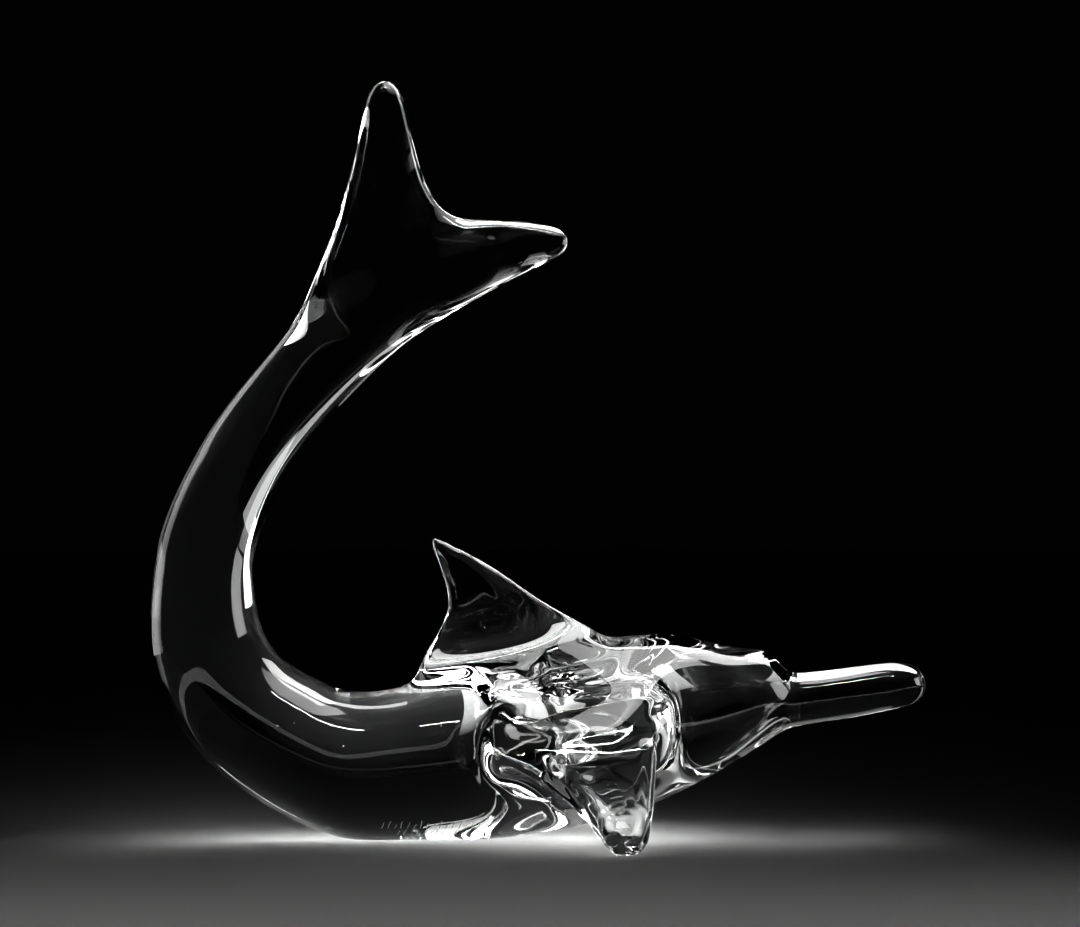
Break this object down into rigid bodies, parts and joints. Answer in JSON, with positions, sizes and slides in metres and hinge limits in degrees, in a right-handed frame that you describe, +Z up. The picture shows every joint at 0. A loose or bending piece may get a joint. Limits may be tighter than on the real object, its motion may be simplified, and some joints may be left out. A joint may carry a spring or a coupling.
{
  "type": "crystal dolphin sculpture",
  "caption": "Clear glass dolphin lying on its belly, its body curling up behind so that the tail stands over its back.",
  "frame": {"origin": "middle of the footprint, at the height of the table it stands on", "axes": "+X towards the end of the beak, +Z up"},
  "size_m": [0.2584, 0.0924, 0.2521],
  "materials": {
    "clear_crystal": "clear, colourless, fire-polished, ground flat underneath"
  },
  "bodies": {
    "root": {"crystal_dolphin": "clear_crystal"}
  },
  "joints": []
}
